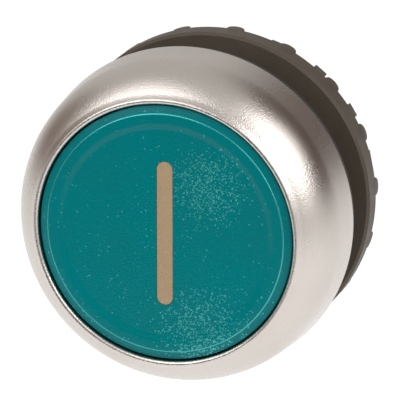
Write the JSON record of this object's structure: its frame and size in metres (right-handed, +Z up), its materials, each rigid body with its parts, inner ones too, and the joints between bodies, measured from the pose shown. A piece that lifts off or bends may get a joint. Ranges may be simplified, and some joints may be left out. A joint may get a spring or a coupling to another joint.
{
  "type": "panel push button head",
  "caption": "Round flush push button head for a panel hole: green plate with a plain bar inlay in a satin ring, with threaded barrel, gasket and fixing nut.",
  "frame": {"origin": "on the button's axis, in the plane where the gasket lies on the panel's front face", "axes": "+Y runs to the rear along the button's axis, so the button faces -Y; +Z is up along the bar symbol; +X is to the right of someone facing the button"},
  "size_m": [0.0296, 0.0235, 0.0296],
  "materials": {
    "bezel_satin": "satin",
    "button_green": "fine grained, semi-gloss",
    "symbol_tan": "flush moulded inlay",
    "housing_black": "moulded",
    "insert_black": "moulded",
    "nut_black": "glass-filled, grained",
    "gasket_rubber": "matt",
    "diaphragm_rubber": "matt",
    "carrier_grey": "moulded",
    "plunger_grey": "moulded",
    "washer_black": "black phosphated steel",
    "spring_steel": "drawn wire"
  },
  "bodies": {
    "housing": {"barrel_housing": "housing_black", "bezel_ring": "bezel_satin", "bezel_insert": "insert_black", "panel_gasket": "gasket_rubber", "diaphragm_seal": "diaphragm_rubber", "diaphragm_clamp_ring": "insert_black", "return_spring": "spring_steel"},
    "button": {"button_plate": "button_green", "symbol_inlay": "symbol_tan", "button_carrier": "carrier_grey", "plunger": "plunger_grey"},
    "washer": {"thrust_washer": "washer_black"},
    "nut": {"fixing_nut": "nut_black"}
  },
  "joints": [
    {"name": "button_press", "type": "slide", "parent": "housing", "child": "button", "axis": [0, 1, 0], "range_m": [0, 0.004], "stiffness_N_per_m": 600, "springref_m": -0.004, "deforming": ["return_spring", "diaphragm_seal"]},
    {"name": "nut_advance", "type": "slide", "parent": "housing", "child": "washer", "axis": [0, -1, 0], "range_m": [-0.0015, 0.00375]},
    {"name": "nut_turn", "type": "hinge", "parent": "washer", "child": "nut", "pos_m": [0, 0.0075, 0], "axis": [0, -1, 0], "range_deg": [-360, 900]}
  ],
  "couplings": [
    {"joint": "nut_advance", "follows": "nut_turn", "m_per_rad": 0.00023873}
  ]
}
